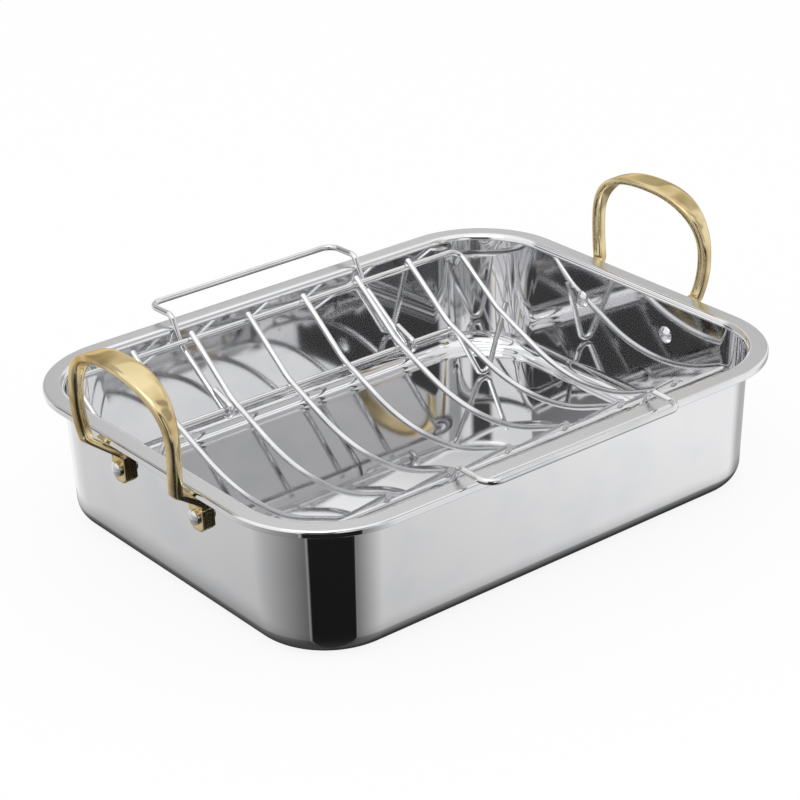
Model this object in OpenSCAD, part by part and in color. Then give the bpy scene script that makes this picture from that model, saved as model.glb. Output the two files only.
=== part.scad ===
// Open roasting pan of polished sheet steel on a thick bonded base, with two
// riveted strap handles. A welded wire cradle stands in it on four bent feet and
// lifts out by two hinged wire handles, hooked round the cradle's runners.
// +X runs along the pan, +Z is up, and the origin is under the floor's centre.

/* [Pan] */
// Length over the rim
rim_l = 400; // [360:1:440]
// Width over the rim
rim_w = 308; // [290:1:330]
// Height from the table to the top of the flange
pan_h = 90; // [86:0.5:100]
// Corner radius of the rim
rim_r = 65; // [60:1:75]
// Thickness of the sheet
sheet_t = 1.2; // [0.8:0.1:2]
// Thickness of the bonded base, from the table to the pan's inner floor
base_t = 7.6; // [5:0.2:10]
// Inner radius between the floor and the walls
floor_r = 11; // [9:0.5:14]
// Width of the flat flange with its lip
flange_w = 10; // [8:0.5:13]
// Radius of the bend at the mouth, on the upper side
mouth_r = 4; // [3:0.5:6]
// Height of the turned-down lip
lip_h = 4.5; // [3.5:0.5:6]
// Inner radius of the lip's bend
lip_bend = 0.6; // [0.3:0.1:1.2]
// Outer radius of the bottom edge
bottom_r = 12; // [8:1:16]
// How far the walls lean in from the mouth to the bottom edge
wall_in = 2.5; // [1:0.5:5]

/* [Strap handles] */
// Height of the top of the arch above the table
handle_h = 155; // [145:1:170]
// Height at which the legs turn into the arch
arch_z = 114; // [108:1:120]
// Half the distance between the legs' centre lines beside the rim
leg_half = 46.5; // [43:0.5:50]
// How far outside the legs the arch starts, on each side
arch_out = 3.5; // [0:0.5:6]
// Width of the strap at the top of the arch
strap_w = 18; // [14:0.5:24]
// Thickness of the strap at the top of the arch
strap_t = 4.5; // [3:0.5:6]
// Width of a leg, seen from the pan's end
leg_w = 8.2; // [7:0.2:10]
// Thickness of a leg, seen from the pan's side
leg_t = 8; // [7:0.2:9]
// Clear space between the lip and a leg
leg_space = 5.4; // [4:0.2:7]
// How far a leg draws in towards the pan by its knee
leg_draw = 2; // [0:0.2:3]
// Depth of the knee below the flange, where the centre line turns in under the lip
knee_drop = 3; // [2.5:0.1:4]
// Radius of the bends at the knee and above the foot, along the centre line
knee_r = 4.6; // [4.6:0.2:6]
// Slope of the stretch between the two bends, in degrees
jog_slope = 35; // [30:1:40]
// How far inside the legs the feet stand, on each side
foot_in = 6.5; // [4:0.5:9]
// Width of a foot
foot_w = 14; // [12:0.5:16]
// Thickness of a foot
foot_t = 4.5; // [3:0.5:6]
// Depth of a foot's lower edge below the flange
foot_drop = 34.5; // [32:0.5:38]
// Length of a foot on the wall
foot_l = 17; // [16:0.5:18]
// Length cut off the lower corners of a foot
foot_chamfer = 3; // [1:0.5:5]

/* [Rivets] */
// Diameter of a rivet's shank
rivet_d = 5; // [4:0.5:6]
// Height of the rivets above a foot's lower edge
rivet_up = 9; // [8:0.5:11]
// Diameter of the head on the foot
head_d = 9.6; // [8:0.2:11]
// Height of the head on the foot
head_h = 3.2; // [2.5:0.1:4]
// Height of that head's upright side
head_side = 1.7; // [0.5:0.1:2]
// Diameter of the head inside the pan
inner_head_d = 11.6; // [9:0.2:13]
// Height of the head inside the pan
inner_head_h = 2.6; // [1.5:0.1:3.5]

/* [Cradle] */
// Diameter of every wire
wire_d = 4; // [3:0.1:5]
// Radius of the cross wires' central arc, along the wire's axis
cradle_r = 140; // [120:1:160]
// Angle at which the cross wires rise beside the central arc, in degrees
cradle_angle = 22; // [18:0.5:26]
// Slope of the cross wires' ends, in degrees
side_slope = 37.5; // [34:0.5:40]
// Radius of the end bars' central arc, along the wire's axis
bar_r = 125; // [110:1:145]
// Angle at which the end bars rise beside the central arc, in degrees
bar_angle = 23; // [20:0.5:26]
// Angle at which the end bars' ends rise, in degrees
bar_side_angle = 36; // [33:0.5:38]
// Distance of the fold between the two slopes from the rail
fold_in = 42; // [38:0.5:46]
// Radius of the folds, along the wire's axis
fold_r = 36; // [20:1:50]
// Distance of a rail's axis from the pan's long wall
rail_in = 11; // [10:0.5:14]
// Depth of the rails' axes below the flange
rail_drop = 6.8; // [5:0.2:9]
// Distance of a runner from its rail, across the cradle
runner_in = 44; // [38:0.5:50]
// Length of the cross wires past the rails' axes
wire_over = 0; // [-1:0.2:4]
// Distance of the end bars' axes from the pan's end walls, on average
end_in = 28.5; // [26:0.5:34]
// How far the cradle lies off the pan's centre, along the pan
cradle_shift = 7.5; // [0:0.5:9]
// Radius of the frame's corners, along the wire's axis
frame_bend = 8; // [6:0.5:12]
// Radius of the bends in the runners, along the wire's axis
foot_bend = 6; // [5:0.5:8]
// Distance of a runner's bend past the outermost cross wire
runner_past = 4.5; // [4:0.5:8]
// Slope of a wire foot's outer arm, in degrees
heel_slope = 70; // [66:1:76]
// Height of the outer arm's end above the end bar's axis
heel_up = 4; // [3:0.5:8]

/* [Lift handles] */
// Distance of a leg from the nearest cross wire, between their axes, before the shift
bail_side = 7.5; // [7:0.5:12]
// How far the lift handles lie off the cradle's centre, along the pan
bail_shift = 2.5; // [0:0.5:2.5]
// Reach of the grip past the pan's long wall
bail_reach = 27.4; // [24:0.2:34]
// Height of the grip above the flange
bail_up = 9.2; // [8:0.2:14]
// Slope of the legs above the rails, in degrees
bail_slope = 65; // [58:1:72]
// Radius of the grip's corners, along the wire's axis
bail_corner = 9; // [6:0.5:12]
// Radius of the bends over the flange, along the wire's axis
bail_bend = 6; // [5:0.5:8]
// Length of the cut end that lies back over a leg
hook_tail = 15; // [8:0.5:16]
// Angle by which the cut end turns towards the leg, in degrees
hook_close = 15; // [10:1:18]

/* [Fits] */
// Gap between wires that are welded together
weld_gap = 0.08; // [0.04:0.01:0.12]
// Gap between pieces that are riveted together
rivet_gap = 0.05; // [0.03:0.01:0.1]
// Running gap of the hooks on the runners and of the legs beside the rails
hook_gap = 0.3; // [0.2:0.05:0.5]
// Gap under the cradle's feet and beside a leg that leans on the mouth
seat_gap = 0.3; // [0.2:0.05:0.5]

/* [Hidden] */
$fn = 64;

// The pan's wall profile is measured outwards from the centre of a rim corner
corner_x = rim_l / 2 - rim_r;
corner_y = rim_w / 2 - rim_r;
mouth_u = rim_r - flange_w - mouth_r;
wall_top_u = mouth_u + sheet_t;
wall_low_u = wall_top_u - wall_in;
mouth_z = pan_h - mouth_r;
lip_r = lip_bend + sheet_t;
lean = atan(wall_in / (mouth_z - bottom_r));
floor_end_z = base_t + floor_r;
floor_end_u = wall_u(floor_end_z) - sheet_t;

// The mouth's inner faces, half the pan's inside length and width
mouth_half_l = corner_x + mouth_u;
mouth_half_w = corner_y + mouth_u;

// Strap handles
arch_half = leg_half + arch_out;
foot_half = leg_half - foot_in;
foot_low = pan_h - foot_drop;
foot_top = foot_low + foot_l;
rivet_z = foot_low + rivet_up;
leg_x = rim_l / 2 + leg_space + leg_t / 2;
knee_x = leg_x - leg_draw;
ankle_x = wall_x(foot_top) + rivet_gap + foot_t / 2;
bend_turn = 90 - jog_slope;
bend_reach = knee_r * tan(bend_turn / 2);
bend_run = knee_r * bend_turn * PI / 180;
jog_run = 2 * bend_run - 2 * bend_reach + (knee_x - ankle_x) / cos(jog_slope);
knee_high = pan_h - knee_drop + bend_reach;
ankle_low = pan_h - knee_drop - (knee_x - ankle_x) * tan(jog_slope) - bend_reach;
jog_ease = 1.2;
arch_rise = handle_h - strap_t / 2 - arch_z;
arch_power = 2.4;
spread_power = 3;
strap_power = 5;
leg_power = 2.6;
bend_steps = 7;
leg_steps = 6;
arch_steps = 16;
ring_steps = 16;
loft_inset = 0.1;

// Wires
joint_lap = 0.05;
joint_step = 0.02;

// A cradle wire's profile across the pan, with a fold at fold_y on each side of its central arc:
// [height of the arc's corner, y and height of the fold, inner slope, outer slope, radii of both]
function profile(end_z, inner, outer, r) =
    let (fold_y = rail_y - fold_in, fold_z = end_z - fold_in * tan(outer))
    [fold_z - fold_y * tan(inner), fold_y, fold_z, inner, outer, r, fold_r];

// The profile at a distance d under p, its height at y, and its slope there
function under(p, d) =
    let (m = (p[3] + p[4]) / 2, e = d / cos((p[4] - p[3]) / 2))
    [p[0] - d / cos(p[3]), p[1] + e * sin(m), p[2] - e * cos(m), p[3], p[4], p[5] + d, p[6] + d];
function fold_start(p) = p[1] - p[6] * tan((p[4] - p[3]) / 2) * cos(p[3]);
function fold_end(p) = p[1] + p[6] * tan((p[4] - p[3]) / 2) * cos(p[4]);
function fold_centre(p) = fold_start(p) - p[6] * sin(p[3]);
function height(p, y) =
    y > fold_end(p) ? p[2] + (y - p[1]) * tan(p[4])
    : y > fold_start(p) ? p[0] + fold_start(p) * tan(p[3]) + p[6] * cos(p[3])
        - sqrt(pow(p[6], 2) - pow(y - fold_centre(p), 2))
    : y > p[5] * sin(p[3]) ? p[0] + y * tan(p[3])
    : p[0] + p[5] / cos(p[3]) - sqrt(pow(p[5], 2) - pow(y, 2));
function slope(p, y) =
    y > fold_end(p) ? p[4]
    : y > fold_start(p) ? asin((y - fold_centre(p)) / p[6])
    : y > p[5] * sin(p[3]) ? p[3] : asin(y / p[5]);

// Cradle: the rails and the runners lie one layer under the cross wires
layer = wire_d + weld_gap;
rack_half_l = mouth_half_l - end_in;
wire_gaps = 7;
wire_pitch = 2 * rack_half_l / wire_gaps;
rail_y = mouth_half_w - rail_in;
rail_z = pan_h - rail_drop;
cross_profile = profile(rail_z + layer / cos(side_slope), cradle_angle, side_slope, cradle_r);
bar_profile = profile(rail_z, bar_angle, bar_side_angle, bar_r);
runner_y = rail_y - runner_in;
runner_z = height(under(cross_profile, layer), runner_y);

// Wire feet: a V that stands on the floor, its outer arm welded to the end bar.
// The inner arm's slope s and the V's corner depend on each other, so s is settled in steps.
foot_axis_z = base_t + seat_gap + wire_d / 2;
runner_bend_x = wire_pitch * (wire_gaps - 2) / 2 + runner_past;
bar_z = height(bar_profile, runner_y);
bar_tilt = slope(bar_profile, runner_y);
heel_off = layer * sqrt(pow(cos(bar_tilt), 2) + pow(sin(bar_tilt) * cos(heel_slope), 2)) / cos(bar_tilt);
function vee_height(s) = foot_axis_z + foot_bend
    - foot_bend / cos((s + heel_slope) / 2) * cos((s - heel_slope) / 2);
function vee_place(z) = rack_half_l + heel_off / sin(heel_slope) - (bar_z - z) / tan(heel_slope);
function settle(s, steps) = steps == 0 ? s
    : settle(atan((runner_z - vee_height(s)) / (vee_place(vee_height(s)) - runner_bend_x)), steps - 1);
settle_steps = 12;
arm_slope = settle(heel_slope, settle_steps);
vee_z = vee_height(arm_slope);
vee_x = vee_place(vee_z);
heel_z = bar_z + heel_up;
heel_x = vee_x + (heel_z - vee_z) / tan(heel_slope);

// Lift handles, drawn against the rails and then leant out on the pan's mouth
hook_r = wire_d + hook_gap;
bail_half = 3 * wire_pitch / 2 + bail_side;
run_angle = atan2(rail_z - runner_z, rail_y - runner_y);
grip_y = mouth_half_w + bail_reach;
grip_z = pan_h + bail_up;
leg_low = [runner_y + hook_r * sin(run_angle), runner_z - hook_r * cos(run_angle)];
leg_rail = [rail_y + hook_r * sin(run_angle), rail_z - hook_r * cos(run_angle)];
rail_turn = hook_r * tan((bail_slope - run_angle) / 2);
leg_bend = [leg_rail[0] + rail_turn * cos(run_angle), leg_rail[1] + rail_turn * sin(run_angle)];
leg_high = [leg_bend[0] + (grip_z - leg_bend[1]) / tan(bail_slope), grip_z];
lean_start = (runner_y - leg_bend[0]) * sin(bail_slope) - (runner_z - leg_bend[1]) * cos(bail_slope);
lean_arm = norm([mouth_half_w + mouth_r - runner_y, mouth_z - runner_z]);
lean_angle = 90 - bail_slope + atan2(mouth_z - runner_z, mouth_half_w + mouth_r - runner_y);
bail_lean = acos((mouth_r + seat_gap + wire_d / 2 - lean_start) / lean_arm) - lean_angle;

// Small helpers
function unit(v) = v / norm(v);
function smooth(t) = t * t * (3 - 2 * t);
function mix(a, b, t) = a + (b - a) * t;
function power(c, n) = sign(c) * pow(abs(c), 2 / n);
function wall_u(z) = wall_low_u + wall_in * (z - bottom_r) / (mouth_z - bottom_r);
function wall_x(z) = corner_x + wall_u(z);

// Wire stretches and bends, as exact rods and torus sectors. A rod's ends reach
// joint_lap into the bends, which are thicker by joint_step, so that they join cleanly.
module placed(x, y, z, o)
    multmatrix([[x[0], y[0], z[0], o[0]], [x[1], y[1], z[1], o[1]], [x[2], y[2], z[2], o[2]], [0, 0, 0, 1]])
        children();

module rod(a, b) {
    w = unit(b - a);
    side = abs(w[2]) < 0.9 ? [0, 0, 1] : [1, 0, 0];
    u = unit(cross(side, w));
    placed(u, cross(w, u), w, a - joint_lap * w) cylinder(h = norm(b - a) + 2 * joint_lap, d = wire_d);
}

function turn_at(p) = acos(unit(p[1] - p[0]) * unit(p[2] - p[1]));
function cut_at(p, r) = r * tan(turn_at(p) / 2);

module bend(p, r) {
    u = unit(p[1] - p[0]);
    w = unit(cross(u, p[2] - p[1]));
    m = cross(w, u);
    placed(-m, u, w, p[1] - u * cut_at(p, r) + m * r)
        rotate_extrude(angle = turn_at(p)) translate([r, 0]) circle(d = wire_d + joint_step);
}

// A wire through the points p, with the bend radius r[i] at point i
module bent_wire(p, r, closed = false) {
    n = len(p);
    cuts = [for (i = [0 : n - 1]) r[i] > 0 ? cut_at([p[(i + n - 1) % n], p[i], p[(i + 1) % n]], r[i]) : 0];
    for (i = [0 : closed ? n - 1 : n - 2]) {
        j = (i + 1) % n;
        u = unit(p[j] - p[i]);
        rod(p[i] + u * cuts[i], p[j] - u * cuts[j]);
    }
    for (i = [0 : n - 1])
        if (r[i] > 0) bend([p[(i + n - 1) % n], p[i], p[(i + 1) % n]], r[i]);
}

// Quarter of a ring, in the quadrant that the signs sx and sy give
module quarter_ring(ro, ri, sx, sy)
    intersection() {
        difference() {
            circle(r = ro);
            circle(r = ri);
        }
        translate([sx < 0 ? -ro : 0, sy < 0 ? -ro : 0]) square(ro);
    }

// Section of the base and the wall up to the mouth, the outer outline less the hollow
module basin_profile()
    difference() {
        union() {
            square([wall_low_u - bottom_r, bottom_r]);
            translate([wall_low_u - bottom_r, bottom_r])
                intersection() {
                    circle(r = bottom_r);
                    translate([0, -bottom_r]) square(bottom_r);
                }
            polygon([[0, bottom_r], [wall_low_u, bottom_r], [wall_top_u, mouth_z], [0, mouth_z]]);
        }
        translate([0, base_t]) square([floor_end_u - floor_r, mouth_z - base_t]);
        translate([floor_end_u - floor_r, floor_end_z]) circle(r = floor_r);
        polygon([[0, floor_end_z], [floor_end_u, floor_end_z], [mouth_u, mouth_z], [0, mouth_z]]);
    }

// The whole section, from the base to the lip
module wall_profile() {
    basin_profile();
    translate([mouth_u + mouth_r, mouth_z]) quarter_ring(mouth_r, mouth_r - sheet_t, -1, 1);
    translate([mouth_u + mouth_r, pan_h - sheet_t]) square([flange_w - lip_r, sheet_t]);
    translate([rim_r - lip_r, pan_h - lip_r]) quarter_ring(lip_r, lip_bend, 1, 1);
    translate([rim_r - sheet_t, pan_h - lip_h]) square([sheet_t, lip_h - lip_r]);
}

// Places its children on a rivet's axis, square to the wall, at its outer face
module at_rivet(sx, sy)
    mirror([sx < 0 ? 1 : 0, 0, 0])
        translate([wall_x(rivet_z), sy * foot_half, rivet_z])
            rotate([0, 90 + lean, 0]) children();

module rivet_hole() {
    reach = 2 * (foot_t + sheet_t);
    cylinder(h = 2 * reach, d = rivet_d + 2 * rivet_gap, center = true);
}

module pan_body()
    color("gainsboro")
    difference() {
        union() {
            for (sx = [0, 1], sy = [0, 1])
                mirror([sx, 0, 0]) mirror([0, sy, 0])
                    translate([corner_x, corner_y, 0]) rotate_extrude(angle = 90) wall_profile();
            for (s = [0, 1]) {
                mirror([0, s, 0]) translate([-corner_x, corner_y, 0])
                    rotate([90, 0, 90]) linear_extrude(2 * corner_x) wall_profile();
                mirror([s, 0, 0]) translate([corner_x, corner_y, 0])
                    rotate([90, 0, 0]) linear_extrude(2 * corner_y) wall_profile();
            }
            translate([-corner_x, -corner_y, 0]) cube([2 * corner_x, 2 * corner_y, base_t]);
        }
        for (sx = [-1, 1], sy = [-1, 1]) at_rivet(sx, sy) rivet_hole();
    }

// Stations of a strap handle from one foot to the top of the arch:
// centre x, y and z, size across the strap, size through it, corner power
function jog_station(x, z, u, g) =
    [x, mix(foot_half, leg_half, pow(u, jog_ease)), z,
     mix(foot_t - 2 * loft_inset, leg_t, g), mix(foot_w - 2 * loft_inset, leg_w, u),
     mix(strap_power, leg_power, u)];
foot_start = foot_top - foot_t;
foot_end = jog_station(wall_x(foot_start) + ankle_x - wall_x(foot_top), foot_start, 0, 0);
ankle = [for (i = [0 : bend_steps]) let (t = i / bend_steps, a = bend_turn * t)
    jog_station(ankle_x + knee_r * (1 - cos(a)), ankle_low + knee_r * sin(a), t * bend_run / jog_run, 0)];
knee = [for (i = [0 : bend_steps]) let (t = 1 - i / bend_steps, a = bend_turn * t)
    jog_station(knee_x - knee_r * (1 - cos(a)), knee_high - knee_r * sin(a), 1 - t * bend_run / jog_run,
                smooth(1 - t))];
legs = [for (i = [1 : leg_steps]) let (t = 1 - i / leg_steps)
    [mix(leg_x, knee_x, t * t), mix(arch_half, leg_half, t * t), mix(arch_z, knee_high, t),
     leg_t, leg_w, leg_power]];
arch = [for (i = [1 : arch_steps]) let (a = 90 * (1 - i / arch_steps), y = power(sin(a), arch_power),
        w = 1 - pow(y, spread_power))
    [leg_x, arch_half * y, arch_z + arch_rise * power(cos(a), arch_power),
     mix(leg_t, strap_w, w), mix(leg_w, strap_t, w), mix(leg_power, strap_power, w)]];
half_strap = concat([foot_end], ankle, knee, legs, arch);
last = len(half_strap) - 1;
strap = concat(half_strap, [for (i = [last - 1 : -1 : 0])
    [half_strap[i][0], -half_strap[i][1], half_strap[i][2],
     half_strap[i][3], half_strap[i][4], half_strap[i][5]]]);

function at(s) = [s[0], s[1], s[2]];
function along(list, i) = unit(at(list[min(i + 1, len(list) - 1)]) - at(list[max(i - 1, 0)]));
function ring(s, t) =
    let (b = unit(cross(t, [1, 0, t[0] == 0 ? 0 : -t[0] / t[2]])), a = cross(b, t))
    [for (j = [0 : ring_steps - 1]) let (f = 360 * j / ring_steps)
        at(s) + a * s[3] / 2 * power(cos(f), s[5]) + b * s[4] / 2 * power(sin(f), s[5])];

module loft(list) {
    n = len(list);
    m = ring_steps;
    points = [for (i = [0 : n - 1]) each ring(list[i], along(list, i))];
    sides = [for (i = [0 : n - 2], j = [0 : m - 1]) let (k = (j + 1) % m)
        each [[i * m + j, (i + 1) * m + j, (i + 1) * m + k], [i * m + j, (i + 1) * m + k, i * m + k]]];
    polyhedron(concat(points), concat(sides,
        [[for (j = [0 : m - 1]) j], [for (j = [m - 1 : -1 : 0]) (n - 1) * m + j]]));
}

// A flat foot on the wall, with two lower corners cut off
module strap_foot(sy) {
    face = rivet_gap + foot_t;
    translate([0, sy * foot_half, 0])
        intersection() {
            rotate([90, 0, 0]) linear_extrude(foot_w, center = true)
                polygon([[wall_x(foot_low) + rivet_gap, foot_low], [wall_x(foot_low) + face, foot_low],
                         [wall_x(foot_top) + face, foot_top], [wall_x(foot_top) + rivet_gap, foot_top]]);
            rotate([90, 0, 90]) linear_extrude(rim_l / 2)
                polygon([[-foot_w / 2, foot_top], [-foot_w / 2, foot_low + foot_chamfer],
                         [-foot_w / 2 + foot_chamfer, foot_low], [foot_w / 2 - foot_chamfer, foot_low],
                         [foot_w / 2, foot_low + foot_chamfer], [foot_w / 2, foot_top]]);
        }
}

module strap_handle(sx)
    color("goldenrod")
    difference() {
        mirror([sx < 0 ? 1 : 0, 0, 0]) {
            loft(strap);
            for (sy = [-1, 1]) strap_foot(sy);
        }
        for (sy = [-1, 1]) at_rivet(sx, sy) rivet_hole();
    }

module dome(d, h) {
    r = (pow(d / 2, 2) + pow(h, 2)) / (2 * h);
    intersection() {
        translate([0, 0, h - r]) sphere(r = r);
        cylinder(h = h, d = d);
    }
}

// A domed button on the foot and a domed head inside the pan, on one shank
module rivet(sx, sy) {
    outer = foot_t + 2 * rivet_gap;
    inner = sheet_t + rivet_gap;
    color("silver")
    at_rivet(sx, sy) union() {
        translate([0, 0, -inner]) cylinder(h = inner + outer, d = rivet_d);
        translate([0, 0, outer]) cylinder(h = head_side, d = head_d);
        translate([0, 0, outer + head_side]) dome(head_d, head_h - head_side);
        translate([0, 0, -inner]) mirror([0, 0, 1]) dome(inner_head_d, inner_head_h);
    }
}

// Corners of a profile from front to rear, for a wire at x
function across(p, x) = [[x, -p[1], p[2]], [x, 0, p[0]], [x, p[1], p[2]]];
function backwards(list) = [for (i = [len(list) - 1 : -1 : 0]) list[i]];

// One closed loop: two rails along the pan and a curved bar at each end
module rack_frame() {
    bar_bends = [bar_profile[6], bar_profile[5], bar_profile[6]];
    color("whitesmoke")
    translate([-cradle_shift, 0, 0])
        bent_wire(concat([[-rack_half_l, -rail_y, rail_z], [rack_half_l, -rail_y, rail_z]],
                         across(bar_profile, rack_half_l),
                         [[rack_half_l, rail_y, rail_z], [-rack_half_l, rail_y, rail_z]],
                         backwards(across(bar_profile, -rack_half_l))),
                  concat([frame_bend, frame_bend], bar_bends, [frame_bend, frame_bend], bar_bends),
                  closed = true);
}

module cross_wire(i) {
    end_y = rail_y + wire_over;
    end_z = height(cross_profile, end_y);
    x = wire_pitch * (i - wire_gaps / 2) - cradle_shift;
    color("whitesmoke")
    bent_wire(concat([[x, -end_y, end_z]], across(cross_profile, x), [[x, end_y, end_z]]),
              [0, cross_profile[6], cross_profile[5], cross_profile[6], 0]);
}

module runner(sy)
    color("whitesmoke")
    translate([-cradle_shift, sy * runner_y, 0])
        bent_wire([[-heel_x, 0, heel_z], [-vee_x, 0, vee_z], [-runner_bend_x, 0, runner_z],
                   [runner_bend_x, 0, runner_z], [vee_x, 0, vee_z], [heel_x, 0, heel_z]],
                  [0, foot_bend, foot_bend, foot_bend, foot_bend, 0]);

// A hook round the runner at the foot of each leg, then its cut end over the leg
module hook(x) {
    wrap = 180 + hook_close;
    tail_angle = run_angle - hook_close;
    start = [x, runner_y - hook_r * sin(tail_angle), runner_z + hook_r * cos(tail_angle)];
    placed([0, cos(run_angle - 90), sin(run_angle - 90)], [0, -cos(run_angle), -sin(run_angle)],
           [-1, 0, 0], [x, runner_y, runner_z])
        rotate_extrude(angle = wrap) translate([hook_r, 0]) circle(d = wire_d + joint_step);
    rod(start, start + hook_tail * [0, cos(tail_angle), sin(tail_angle)]);
}

// Drawn at the rear, hinged on the runner's axis
module lift_handle(sy)
    color("whitesmoke")
    mirror([0, sy < 0 ? 1 : 0, 0])
        translate([bail_shift - cradle_shift, runner_y, runner_z]) rotate([-bail_lean, 0, 0])
            translate([0, -runner_y, -runner_z]) {
                bent_wire([[-bail_half, leg_low[0], leg_low[1]], [-bail_half, leg_bend[0], leg_bend[1]],
                           [-bail_half, leg_high[0], leg_high[1]], [-bail_half, grip_y, grip_z],
                           [bail_half, grip_y, grip_z], [bail_half, leg_high[0], leg_high[1]],
                           [bail_half, leg_bend[0], leg_bend[1]], [bail_half, leg_low[0], leg_low[1]]],
                          [0, hook_r, bail_bend, bail_corner, bail_corner, bail_bend, hook_r, 0]);
                for (x = [-bail_half, bail_half]) hook(x);
            }

pan_body();
strap_handle(-1);  // left_handle
strap_handle(1);  // right_handle
rivet(-1, -1);  // left_front_rivet
rivet(-1, 1);  // left_rear_rivet
rivet(1, -1);  // right_front_rivet
rivet(1, 1);  // right_rear_rivet
rack_frame();
cross_wire(1);  // cross_wire_1
cross_wire(2);  // cross_wire_2
cross_wire(3);  // cross_wire_3
cross_wire(4);  // cross_wire_4
cross_wire(5);  // cross_wire_5
cross_wire(6);  // cross_wire_6
runner(-1);  // front_runner
runner(1);  // rear_runner
lift_handle(-1);  // front_lift_handle
lift_handle(1);  // rear_lift_handle
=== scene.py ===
# Roasting pan with a wire cradle: its looks, the studio and the camera.
# Shapes are written in millimetres, like the part's source, and scaled to metres.
import math

import bmesh
import bpy
import numpy as np
from mathutils import Matrix, Vector, noise


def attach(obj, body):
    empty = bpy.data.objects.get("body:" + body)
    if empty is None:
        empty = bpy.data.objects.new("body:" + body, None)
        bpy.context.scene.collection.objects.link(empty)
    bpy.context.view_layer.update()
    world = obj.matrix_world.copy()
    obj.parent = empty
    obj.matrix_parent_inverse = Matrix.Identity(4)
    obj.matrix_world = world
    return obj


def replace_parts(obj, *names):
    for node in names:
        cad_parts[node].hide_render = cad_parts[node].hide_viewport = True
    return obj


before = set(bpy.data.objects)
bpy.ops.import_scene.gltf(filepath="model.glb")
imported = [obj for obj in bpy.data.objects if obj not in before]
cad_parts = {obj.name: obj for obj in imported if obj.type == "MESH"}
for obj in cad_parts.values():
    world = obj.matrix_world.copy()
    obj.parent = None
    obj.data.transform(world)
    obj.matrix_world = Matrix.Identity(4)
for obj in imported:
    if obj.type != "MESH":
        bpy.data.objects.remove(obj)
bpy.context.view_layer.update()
MM = 0.001


# ---------------------------------------------------------------- shader helpers
class Tree:
    """Builds a node tree in few words."""

    def __init__(self, tree):
        self.tree = tree
        tree.nodes.clear()

    def new(self, kind, inputs=(), **settings):
        node = self.tree.nodes.new(kind)
        for key, value in settings.items():
            setattr(node, key, value)
        for key, value in dict(inputs).items():
            if isinstance(value, bpy.types.NodeSocket):
                self.tree.links.new(value, node.inputs[key])
            else:
                node.inputs[key].default_value = value
        return node

    def math(self, operation, a, b=0.0, c=0.0):
        return self.new("ShaderNodeMath", {0: a, 1: b, 2: c}, operation=operation).outputs[0]

    def ramp(self, value, low, high, out_low=0.0, out_high=1.0, kind="LINEAR"):
        return self.new("ShaderNodeMapRange", {"Value": value, "From Min": low, "From Max": high,
                        "To Min": out_low, "To Max": out_high}, interpolation_type=kind).outputs[0]

    def ease(self, *limits):
        return self.ramp(*limits, kind="SMOOTHSTEP")

    def blend(self, factor, a, b):
        node = self.new("ShaderNodeMix", data_type="RGBA")
        for socket, value in ((node.inputs[0], factor), (node.inputs[6], a), (node.inputs[7], b)):
            if isinstance(value, bpy.types.NodeSocket):
                self.tree.links.new(value, socket)
            else:
                socket.default_value = value
        return node.outputs[2]

    def noise(self, vector, scale, detail, roughness=0.5):
        return self.new("ShaderNodeTexNoise", {"Vector": vector, "Scale": scale, "Detail": detail,
                        "Roughness": roughness}).outputs["Fac"]

    def axis(self, vector, index):
        return self.new("ShaderNodeSeparateXYZ", {0: vector}).outputs[index]


def rgba(r, g, b):
    return (r, g, b, 1.0)


# ---------------------------------------------------------------- materials
# Scales of the noises, per metre, and the ranges of noise or slope in which they show
PATCH_SCALE, GRAIN_SCALE, SCRATCH_SCALE = 28.0, 900.0, 160.0
PATCH_TINT, PATCH_ROUGH = (0.42, 0.7), (0.3, 0.75)
SCRATCH_SHOWN, LEVEL_FACE = (0.70, 0.78), (0.94, 0.995)
SCRATCH_TURN, SCRATCH_STRETCH = (0.3, 0.5, 0.7), (1.0, 14.0, 5.0)
EVEN = (1.0, 1.0, 1.0)


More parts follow.
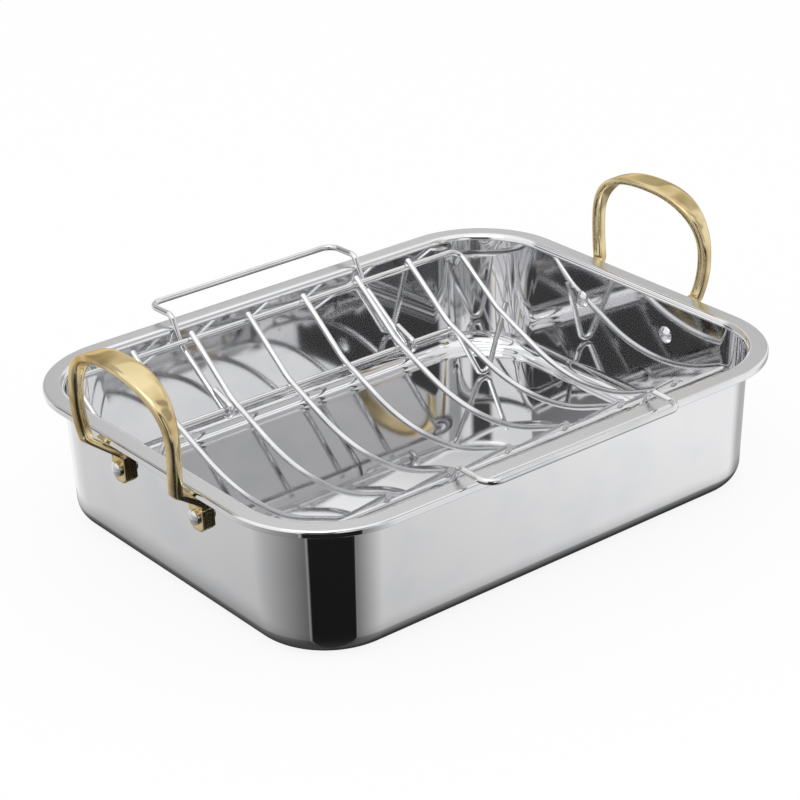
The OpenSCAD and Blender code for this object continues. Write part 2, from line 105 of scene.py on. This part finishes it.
def metal(name, colour, dull_and_painted_reflection, rough, wave, grain, marks, metallic=1.0, edge=EVEN, satin=None):
    """A polished metal: its colour and the colour of its duller patches, which on the brass also paint
    reflections of darker surroundings, least roughness and what patches add, height and scale of slow
    waves in the sheet, height and stretch of the polishing grain, short scratches, and a tint at
    grazing angles. With satin, level faces between two heights are brushed: it gives the heights, the
    added roughness and the grey."""
    mat = bpy.data.materials.new(name)
    mat.use_nodes = True
    t = Tree(mat.node_tree)
    at = t.new("ShaderNodeTexCoord").outputs["Object"]
    patches = t.noise(at, PATCH_SCALE, 3.0)
    # Patches of the duller colour: uneven tone, and on the brass also painted reflections of darker
    # surroundings.
    tint = t.blend(t.ease(patches, *PATCH_TINT), rgba(*colour), rgba(*dull_and_painted_reflection))
    lines = t.new("ShaderNodeMapping", {"Vector": at, "Scale": grain[1]}).outputs[0]
    fine = t.noise(lines, GRAIN_SCALE, 3.0, 0.6)
    turned = t.new("ShaderNodeMapping", {"Vector": at, "Rotation": SCRATCH_TURN,
                                         "Scale": SCRATCH_STRETCH}).outputs[0]
    scratches = t.ease(t.noise(turned, SCRATCH_SCALE, 2.0, 0.7), *SCRATCH_SHOWN)
    roughness = t.math("ADD", t.ramp(patches, *PATCH_ROUGH, rough[0], rough[0] + rough[1]),
                       t.math("MULTIPLY", scratches, marks))
    if satin:
        low, high, more, shade = satin
        normal = t.new("ShaderNodeNewGeometry").outputs["Normal"]
        flat = t.math("MULTIPLY", t.ease(t.axis(at, 2), low, high),
                      t.ease(t.axis(normal, 2), *LEVEL_FACE))
        roughness = t.math("MULTIPLY_ADD", flat, more, roughness)
        tint = t.blend(flat, tint, rgba(shade, shade, shade))
    slow = t.new("ShaderNodeBump", {"Height": t.noise(at, wave[1], 1.0), "Strength": 1.0,
                                    "Distance": wave[0]})
    bump = t.new("ShaderNodeBump", {"Height": fine, "Strength": 1.0, "Distance": grain[0],
                                    "Normal": slow.outputs[0]})
    shader = t.new("ShaderNodeBsdfPrincipled", {"Base Color": tint, "Roughness": roughness,
                   "Metallic": metallic, "Specular Tint": rgba(*edge), "Normal": bump.outputs[0]})
    t.new("ShaderNodeOutputMaterial", {"Surface": shader.outputs[0]})
    return mat


pan_steel = metal("polished_pan_steel", colour=(0.79, 0.79, 0.80), dull_and_painted_reflection=(0.755, 0.76, 0.775),
                  rough=(0.035, 0.03), wave=(1.2e-4, 16.0), grain=(1.5e-7, (1.0, 1.0, 9.0)),
                  marks=0.02, satin=(0.088, 0.0895, 0.22, 0.66))
wire_steel = metal("bright_wire_steel", colour=(0.76, 0.76, 0.765), dull_and_painted_reflection=(0.66, 0.665, 0.675),
                   rough=(0.06, 0.04), wave=(2.0e-5, 60.0), grain=(4.0e-7, (0.25, 1.0, 1.0)),
                   marks=0.03)
rivet_steel = metal("turned_rivet_steel", colour=(0.80, 0.80, 0.81), dull_and_painted_reflection=(0.66, 0.66, 0.67),
                    rough=(0.12, 0.08), wave=(2.0e-5, 120.0), grain=(1.5e-6, EVEN), marks=0.05)
# The brass's duller patches are deep saturated brown: partly uneven tone, partly painted reflections on
# the legs and arch.
brass = metal("polished_brass", colour=(0.79, 0.66, 0.39), dull_and_painted_reflection=(0.43, 0.30, 0.13),
              rough=(0.06, 0.04), wave=(6.0e-5, 34.0), grain=(5.0e-8, (1.0, 1.0, 0.2)),
              marks=0.02, metallic=0.96, edge=(0.82, 0.68, 0.45))
weld_steel = metal("weld_steel", colour=(0.70, 0.69, 0.68), dull_and_painted_reflection=(0.42, 0.40, 0.39),
                   rough=(0.16, 0.12), wave=(1.5e-4, 400.0), grain=(2.0e-6, EVEN), marks=0.05)

for name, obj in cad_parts.items():
    if name in ("pan_body", "left_handle", "right_handle"):
        continue
    obj.data.materials.clear()
    obj.data.materials.append(rivet_steel if name.endswith("rivet") else wire_steel)


def piece(name, points, faces, material, body, normals=None):
    """A smooth mesh of its own, in millimetres, that rides on a body."""
    mesh = bpy.data.meshes.new(name)
    mesh.from_pydata([tuple(p) for p in np.asarray(points, float) * MM], [], faces)
    mesh.update()
    mesh.polygons.foreach_set("use_smooth", [True] * len(mesh.polygons))
    if normals is not None:
        mesh.normals_split_custom_set_from_vertices([tuple(n) for n in normals])
    mesh.materials.append(material)
    obj = bpy.data.objects.new(name, mesh)
    bpy.context.collection.objects.link(obj)
    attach(obj, body)
    return obj


# ---------------------------------------------------------------- the pan
# The same sizes as in the part's source. u is measured outwards from a rim corner's centre.
RIM_L, RIM_W, PAN_H, RIM_R, SHEET = 400.0, 308.0, 90.0, 65.0, 1.2
FLANGE, MOUTH_R, LIP_H, LIP_BEND, BOTTOM_R, WALL_IN = 10.0, 4.0, 4.5, 0.6, 12.0, 2.5
EDGE_R = 0.45
BASE_T, FLOOR_R = 7.6, 11.0
CORNER_X, CORNER_Y = RIM_L / 2 - RIM_R, RIM_W / 2 - RIM_R
MOUTH_U = RIM_R - FLANGE - MOUTH_R
WALL_TOP_U = MOUTH_U + SHEET
WALL_LOW_U = WALL_TOP_U - WALL_IN
MOUTH_Z = PAN_H - MOUTH_R
LEAN = math.atan(WALL_IN / (MOUTH_Z - BOTTOM_R))
FLOOR_END_Z = BASE_T + FLOOR_R
FLOOR_END_U = WALL_LOW_U + WALL_IN * (FLOOR_END_Z - BOTTOM_R) / (MOUTH_Z - BOTTOM_R) - SHEET
CORNER_STEPS, BEND_STEPS, MOUTH_STEPS, LIP_STEPS, EDGE_STEPS = 32, 14, 12, 10, 4


def arc(cu, cz, r, start, end, steps, side):
    """Points and normals on an arc in the wall's section. side 1 looks away from the centre."""
    out = []
    for i in range(steps + 1):
        a = math.radians(start) + (math.radians(end) - math.radians(start)) * i / steps
        out.append((cu + r * math.cos(a), cz + r * math.sin(a), side * math.cos(a), side * math.sin(a)))
    return out


def pan_section():
    """The sheet's section, from under the base out over the lip and back down to the floor."""
    lean = math.degrees(LEAN)
    mouth_c, lip_r = MOUTH_U + MOUTH_R, LIP_BEND + SHEET
    lip_u, lip_z, rim_foot = RIM_R - lip_r, PAN_H - lip_r, PAN_H - LIP_H
    return (arc(WALL_LOW_U - BOTTOM_R, BOTTOM_R, BOTTOM_R, -90, -lean, BEND_STEPS, 1)
            + arc(mouth_c, MOUTH_Z, MOUTH_R - SHEET, 180 - lean, 90, 8, -1)
            + arc(lip_u, lip_z, LIP_BEND, 90, 0, EDGE_STEPS, -1)
            + arc(RIM_R - SHEET + EDGE_R, rim_foot + EDGE_R, EDGE_R, 180, 270, EDGE_STEPS, 1)
            + arc(RIM_R - EDGE_R, rim_foot + EDGE_R, EDGE_R, 270, 360, EDGE_STEPS, 1)
            + arc(lip_u, lip_z, lip_r, 0, 90, LIP_STEPS, 1)
            + arc(mouth_c, MOUTH_Z, MOUTH_R, 90, 180 - lean, MOUTH_STEPS, 1)
            + arc(FLOOR_END_U - FLOOR_R, FLOOR_END_Z, FLOOR_R, -lean, -90, BEND_STEPS, -1))


def pan():
    section = pan_section()
    stations = []
    for quarter, (sx, sy) in enumerate(((1, 1), (-1, 1), (-1, -1), (1, -1))):
        for i in range(CORNER_STEPS + 1):
            a = math.radians(90 * quarter + 90 * i / CORNER_STEPS)
            stations.append((sx * CORNER_X, sy * CORNER_Y, math.cos(a), math.sin(a)))
    points, normals, faces = [], [], []
    for cx, cy, c, s in stations:
        for u, z, nu, nz in section:
            points.append((cx + u * c, cy + u * s, z))
            normals.append((nu * c, nu * s, nz))
    n, m = len(section), len(stations)
    for k in range(m):
        a, b = k * n, (k + 1) % m * n
        faces += [(a + i, b + i, b + i + 1, a + i + 1) for i in range(n - 1)]
    faces.append([k * n for k in reversed(range(m))])
    faces.append([k * n + n - 1 for k in range(m)])
    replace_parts(piece("drawn_pan", points, faces, pan_steel, "pan", normals), "pan_body")


pan()

# ---------------------------------------------------------------- the strap handles
HANDLE_H, ARCH_Z, STRAP_W, STRAP_T = 155.0, 114.0, 18.0, 4.5
LEG_HALF, LEG_W, LEG_T, LEG_SPACE, LEG_DRAW, ARCH_OUT = 46.5, 8.2, 8.0, 5.4, 2.0, 3.5
FOOT_IN, FOOT_W, FOOT_T, FOOT_LOW, FOOT_L, CHAMFER, RIVET_GAP = 6.5, 14.0, 4.5, 55.5, 17.0, 3.0, 0.05
KNEE_DROP, KNEE_R, JOG_SLOPE, JOG_EASE = 3.0, 4.6, math.radians(35), 1.2
# Corner powers of the section, 2 for an ellipse and more for a box, and of the arch's curve
ARCH_POWER, SPREAD_POWER, STRAP_POWER, LEG_POWER, FOOT_POWER = 2.4, 3.0, 5.0, 2.6, 9.0
LEG_X = RIM_L / 2 + LEG_SPACE + LEG_T / 2
ARCH_HALF, FOOT_HALF = LEG_HALF + ARCH_OUT, LEG_HALF - FOOT_IN
ARCH_RISE = HANDLE_H - STRAP_T / 2 - ARCH_Z
# Stations of a foot: height over its lower edge, and what the rounded edge takes off its size
FOOT_STATIONS = ((0, 0.7), (0.12, 0.35), (0.4, 0.1), (0.8, 0), (1.6, 0), (2.4, 0), (3, 0), (3.4, 0),
                 (6, 0), (9, 0), (12, 0), (14, 0))
JOG_STEPS, LEG_STEPS, ARCH_STEPS, RING_STEPS = 8, 16, 60, 64


def wall_x(z):
    return CORNER_X + WALL_LOW_U + WALL_IN * (z - BOTTOM_R) / (MOUTH_Z - BOTTOM_R)


def power(c, n):
    return math.copysign(abs(c) ** (2 / n), c)


def mix(a, b, t):
    return a + (b - a) * t


def jog_path():
    """Stations from a foot to the knee: x, z, way along the jog as a share, and leg thickness."""
    ankle_x = wall_x(FOOT_LOW + FOOT_L) + RIVET_GAP + FOOT_T / 2
    knee_x, turn = LEG_X - LEG_DRAW, math.pi / 2 - JOG_SLOPE
    reach, run = KNEE_R * math.tan(turn / 2), KNEE_R * turn
    straight = (knee_x - ankle_x) / math.cos(JOG_SLOPE) - 2 * reach
    knee_z = PAN_H - KNEE_DROP + reach
    ankle_z = PAN_H - KNEE_DROP - (knee_x - ankle_x) * math.tan(JOG_SLOPE) - reach
    path = []
    for i in range(BEND_STEPS + 1):
        a = turn * i / BEND_STEPS
        path.append((ankle_x + KNEE_R * (1 - math.cos(a)), ankle_z + KNEE_R * math.sin(a),
                     KNEE_R * a, 0.0))
    x0, z0 = path[-1][:2]
    for i in range(1, JOG_STEPS):
        d = straight * i / JOG_STEPS
        path.append((x0 + d * math.cos(JOG_SLOPE), z0 + d * math.sin(JOG_SLOPE), run + d, 0.0))
    for i in range(BEND_STEPS + 1):
        t = 1 - i / BEND_STEPS
        a = turn * t
        path.append((knee_x - KNEE_R * (1 - math.cos(a)), knee_z - KNEE_R * math.sin(a),
                     run + straight + run * (1 - t), (1 - t) ** 2 * (1 + 2 * t)))
    return knee_x, knee_z, [(x, z, d / (2 * run + straight), g) for x, z, d, g in path]


def half_strap():
    """Stations from a foot to the top: x, y, z, size through, size across, corner power."""
    out = []
    for up, cut in FOOT_STATIONS:
        z = FOOT_LOW + up
        out.append([wall_x(z) + RIVET_GAP + FOOT_T / 2, FOOT_HALF, z, FOOT_T - cut,
                    FOOT_W - 2 * max(0.0, CHAMFER - up) - cut, FOOT_POWER])
    knee_x, knee_z, path = jog_path()
    for x, z, u, g in path:
        out.append([x, mix(FOOT_HALF, LEG_HALF, u ** JOG_EASE), z, mix(FOOT_T, LEG_T, g),
                    mix(FOOT_W, LEG_W, u), mix(FOOT_POWER, LEG_POWER, u)])
    for i in range(1, LEG_STEPS + 1):
        t = 1 - i / LEG_STEPS
        out.append([mix(LEG_X, knee_x, t * t), mix(ARCH_HALF, LEG_HALF, t * t),
                    mix(ARCH_Z, knee_z, t), LEG_T, LEG_W, LEG_POWER])
    for i in range(1, ARCH_STEPS + 1):
        a = math.radians(90 * (1 - i / ARCH_STEPS))
        y = power(math.sin(a), ARCH_POWER)
        w = 1 - y ** SPREAD_POWER
        out.append([LEG_X, ARCH_HALF * y, ARCH_Z + ARCH_RISE * power(math.cos(a), ARCH_POWER),
                    mix(LEG_T, STRAP_W, w), mix(LEG_W, STRAP_T, w), mix(LEG_POWER, STRAP_POWER, w)])
    return out


def strap_handle(side, name, node):
    """A loft through the stations, whose sections keep level across the strap."""
    half = half_strap()
    line = half + [[s[0], -s[1], *s[2:]] for s in reversed(half[:-1])]
    centres = np.array([s[:3] for s in line])
    points, faces, m = [], [], RING_STEPS
    for i, s in enumerate(line):
        t = centres[min(i + 1, len(line) - 1)] - centres[max(i - 1, 0)]
        t /= np.linalg.norm(t)
        b = np.cross(t, (1, 0, -t[0] / t[2] if abs(t[0]) > 1e-9 else 0))
        b /= np.linalg.norm(b)
        a = np.cross(b, t)
        for j in range(m):
            f = 2 * math.pi * j / m
            points.append(centres[i] + a * s[3] / 2 * power(math.cos(f), s[5])
                          + b * s[4] / 2 * power(math.sin(f), s[5]))
    for i in range(len(line) - 1):
        for j in range(m):
            k = (j + 1) % m
            faces.append((i * m + j, i * m + k, (i + 1) * m + k, (i + 1) * m + j))
    faces.append(list(reversed(range(m))))
    faces.append([(len(line) - 1) * m + j for j in range(m)])
    points = np.array(points)
    if side < 0:
        points[:, 0] *= -1
        faces = [tuple(reversed(f)) for f in faces]
    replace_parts(piece(name, points, faces, brass, "pan"), node)


strap_handle(-1, "left_strap", "left_handle")
strap_handle(1, "right_strap", "right_handle")

# ---------------------------------------------------------------- welds of the cradle
WIRE_D, PITCH, SHIFT, WIRES = 4.0, 45.0, 7.5, 6
# Rows of welds on each side: y and z of the carrying wire's axis, and the cross wires' slope there
WELD_ROWS = ((129.0, 83.2, math.radians(37.5)), (85.0, 50.9228, math.radians(30)))
# Half size of a bead along and through its plane, its unevenness, how fine that is, and the step
# in the noise from one bead to the next
BEAD_R, BEAD_H, BEAD_UNEVEN, BEAD_GRAIN, BEAD_NEXT = 2.3, 0.95, 0.10, 1.7, 3.1


def welds():
    """Squeezed metal between the crossing wires, a flattened uneven bead at each weld."""
    bm = bmesh.new()
    spots = []
    for i in range(WIRES):
        x = PITCH * (i - (WIRES - 1) / 2) - SHIFT
        for sy in (-1, 1):
            for y, z, slope in WELD_ROWS:
                up = Vector((0, -sy * math.sin(slope), math.cos(slope)))
                spots.append((Vector((x, sy * y, z)) + up * WIRE_D / 2, up))
    for n, (centre, up) in enumerate(spots):
        turn = up.to_track_quat("Z", "Y").to_matrix()
        made = bmesh.ops.create_icosphere(bm, subdivisions=3, radius=1.0)
        for v in made["verts"]:
            p = v.co.copy()
            bulge = 1 + BEAD_UNEVEN * noise.noise(p * BEAD_GRAIN + Vector((n * BEAD_NEXT, 0, 0)))
            p = Vector((p.x * BEAD_R * bulge, p.y * BEAD_R * bulge, p.z * BEAD_H))
            v.co = (centre + turn @ p) * MM
    for f in bm.faces:
        f.smooth = True
    mesh = bpy.data.meshes.new("weld_beads")
    bm.to_mesh(mesh)
    bm.free()
    mesh.materials.append(weld_steel)
    obj = bpy.data.objects.new("weld_beads", mesh)
    bpy.context.collection.objects.link(obj)
    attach(obj, "rack")


welds()


# ---------------------------------------------------------------- studio
# Soft-edged cards that only the metal mirrors. Azimuth 0 is towards -Y and 90 towards +X.
# Degrees: azimuth range, height range, softness of both; then the brightness at both ends.
CARDS = [
    (-200, -62, -91, -4, 4, 8, 1.05, 0.17),
    (1, 47, -91, -4, 1.5, 8, 0.26, 1.0),
    (84, 152, -91, -4, 14, 8, 0.5, 0.5),
    (-62, 1, -91, -4, 2, 8, 0.015, 0.015),
    (-59, -27, -4, 36, 5, 5, 0.07, 0.07),
    (-30, -3, 34, 46, 3, 4, 0.08, 0.08),
    (-10, 14, 5, 44, 4, 6, 0.42, 0.46),
    (14, 25, 5, 44, 4, 6, 0.8, 0.8),
    (25, 50, 27, 50, 4, 3, 0.55, 0.55),
    (50, 66, 44, 62, 4, 4, 0.52, 0.52),
    (80, 120, 38, 52, 5, 4, 0.75, 0.8),
    (112, 150, 8, 27.4, 6, 0.9, 0.46, 0.58),
    (137.5, 148.5, 8, 24.3, 1.5, 0.8, 0.78, 0.78),
    (150, 200, 8, 47, 2, 2, 0.55, 0.55),
    (-200, -152, 8, 47, 2, 2, 0.55, 0.55),
    (-152, -135, 5, 30, 2, 2, 0.16, 0.16),
]
# The ceiling's heights and brightness, and the heights and least share of the falloff below
CEILING, FALLOFF = (30.0, 60.0, 1.0, 1.14), (-39.0, -29.0, 0.5, 1.0)


def studio_world():
    """White all round, with the cards, a lighter ceiling and a falloff below the horizon."""
    world = bpy.data.worlds.new("studio")
    bpy.context.scene.world = world
    world.use_nodes = True
    t = Tree(world.node_tree)
    xyz = t.new("ShaderNodeSeparateXYZ", {0: t.new("ShaderNodeTexCoord").outputs["Generated"]}).outputs
    turn = t.math("ARCTAN2", xyz[0], t.math("MULTIPLY", xyz[1], -1.0))
    azimuth = t.math("MULTIPLY", turn, 180 / math.pi)
    height = t.math("MULTIPLY", t.math("ARCSINE", xyz[2]), 180 / math.pi)
    light = t.ease(height, *CEILING)
    for a0, a1, h0, h1, soft_a, soft_h, level0, level1 in CARDS:
        inside = t.math("MULTIPLY", t.ease(azimuth, a0 - soft_a, a0 + soft_a),
                        t.ease(azimuth, a1 + soft_a, a1 - soft_a))
        upright = t.math("MULTIPLY", t.ease(height, h0 - soft_h, h0 + soft_h),
                         t.ease(height, h1 + soft_h, h1 - soft_h))
        level = t.ramp(azimuth, a0, a1, level0, level1)
        light = t.math("MULTIPLY_ADD", t.math("MULTIPLY", inside, upright),
                       t.math("SUBTRACT", level, light), light)
    light = t.math("MULTIPLY", light, t.math("MINIMUM", t.ramp(height, *FALLOFF), 1.0))
    path = t.new("ShaderNodeLightPath").outputs
    mirrored = t.math("MULTIPLY_ADD", path["Is Glossy Ray"], t.math("SUBTRACT", light, 1.0), 1.0)
    colour = t.new("ShaderNodeCombineColor", {0: mirrored, 1: mirrored, 2: mirrored}).outputs[0]
    back = t.new("ShaderNodeBackground", {"Color": colour, "Strength": 1.0})
    t.new("ShaderNodeOutputWorld", {"Surface": back.outputs[0]})


studio_world()


# Half size in metres; share of plain white; distances from the corner centres' box between which
# the mirrored strip of painted contact shadow ends; its grey
FLOOR_HALF, FLOOR_WHITE, PAINTED_SHADOW_ENDS, PAINTED_SHADOW_GREY, FLOOR_GREY = 6.0, 0.88, (0.074, 0.042), 0.03, 0.9


def floor():
    """White floor that keeps a faint shadow. Metal mirrors it only close to the pan, where it shows a
    painted contact shadow in near black, and sees the studio past it."""
    mesh = bpy.data.meshes.new("floor")
    r = FLOOR_HALF
    mesh.from_pydata([(-r, -r, 0), (r, -r, 0), (r, r, 0), (-r, r, 0)], [], [(0, 1, 2, 3)])
    mat = bpy.data.materials.new("studio_floor")
    mat.use_nodes = True
    t = Tree(mat.node_tree)
    path = t.new("ShaderNodeLightPath").outputs
    at = t.new("ShaderNodeTexCoord").outputs["Object"]

    def vector(operation, a, b=(0, 0, 0)):
        return t.new("ShaderNodeVectorMath", {0: a, 1: b}, operation=operation).outputs

    off = vector("SUBTRACT", vector("ABSOLUTE", at)[0], (CORNER_X * MM, CORNER_Y * MM, 1.0))[0]
    away = vector("LENGTH", vector("MAXIMUM", off)[0])["Value"]
    # How much painted shadow the metal sees: full at the pan, none past the strip's end.
    near = t.ease(away, *PAINTED_SHADOW_ENDS)
    lit = t.new("ShaderNodeBsdfDiffuse", {"Color": rgba(FLOOR_GREY, FLOOR_GREY, FLOOR_GREY)})
    white = t.new("ShaderNodeEmission", {"Color": rgba(1, 1, 1), "Strength": 1.0})
    # Painted shadow: near-black emission that only glossy rays see close to the pan, for its contact
    # shadow.
    painted_shadow = t.new("ShaderNodeEmission", {"Color": rgba(PAINTED_SHADOW_GREY, PAINTED_SHADOW_GREY, PAINTED_SHADOW_GREY),
                                        "Strength": 1.0})
    clear = t.new("ShaderNodeBsdfTransparent")
    seen = t.new("ShaderNodeMixShader", {0: FLOOR_WHITE, 1: lit.outputs[0], 2: white.outputs[0]})
    under = t.new("ShaderNodeMixShader", {0: near, 1: clear.outputs[0], 2: painted_shadow.outputs[0]})
    glossy = t.math("MAXIMUM", path["Is Glossy Ray"], path["Is Transmission Ray"])
    first = t.new("ShaderNodeMixShader", {0: path["Is Camera Ray"], 1: lit.outputs[0],
                                          2: seen.outputs[0]})
    both = t.new("ShaderNodeMixShader", {0: glossy, 1: first.outputs[0], 2: under.outputs[0]})
    t.new("ShaderNodeOutputMaterial", {"Surface": both.outputs[0]})
    mesh.materials.append(mat)
    obj = bpy.data.objects.new("floor", mesh)
    bpy.context.collection.objects.link(obj)


floor()


LAMP_PLACE, LAMP_TARGET = Vector((-0.6, -0.3, 1.9)), Vector((0, 0, 0.05))
LAMP_SIZE, LAMP_WATTS = 1.2, 5.0
lamp = bpy.data.lights.new("key", "AREA")
lamp.shape, lamp.size, lamp.energy = "SQUARE", LAMP_SIZE, LAMP_WATTS
key = bpy.data.objects.new("key", lamp)
key.location = LAMP_PLACE
key.rotation_euler = (LAMP_TARGET - LAMP_PLACE).to_track_quat("-Z", "Y").to_euler()
bpy.context.collection.objects.link(key)

# ---------------------------------------------------------------- camera
# Fitted to the rim and the bottom edge in the photo; the focal length is in pixels
AZ, EL, ROLL = math.radians(-38.57), math.radians(25.8), math.radians(-1.46)
TARGET, DISTANCE, FOCAL, PIXELS = Vector((-11.61, -5.30, 67.98)), 1528.17, 2455.26, 800
SENSOR, NEAR, FAR = 36.0, 0.05, 50.0
back = Vector((math.sin(AZ) * math.cos(EL), -math.cos(AZ) * math.cos(EL), math.sin(EL)))
right = Vector((math.cos(AZ), math.sin(AZ), 0))
up = back.cross(right)
right, up = (right * math.cos(ROLL) + up * math.sin(ROLL),
             up * math.cos(ROLL) - right * math.sin(ROLL))
place = (TARGET + back * DISTANCE) * MM
camera = bpy.data.objects.new("camera", bpy.data.cameras.new("camera"))
camera.data.sensor_width, camera.data.lens = SENSOR, FOCAL / PIXELS * SENSOR
camera.data.clip_start, camera.data.clip_end = NEAR, FAR
camera.matrix_world = Matrix(((right.x, up.x, back.x, place.x), (right.y, up.y, back.y, place.y),
                              (right.z, up.z, back.z, place.z), (0, 0, 0, 1)))
bpy.context.collection.objects.link(camera)
bpy.context.scene.camera = camera
bpy.context.scene.view_settings.view_transform = "Standard"
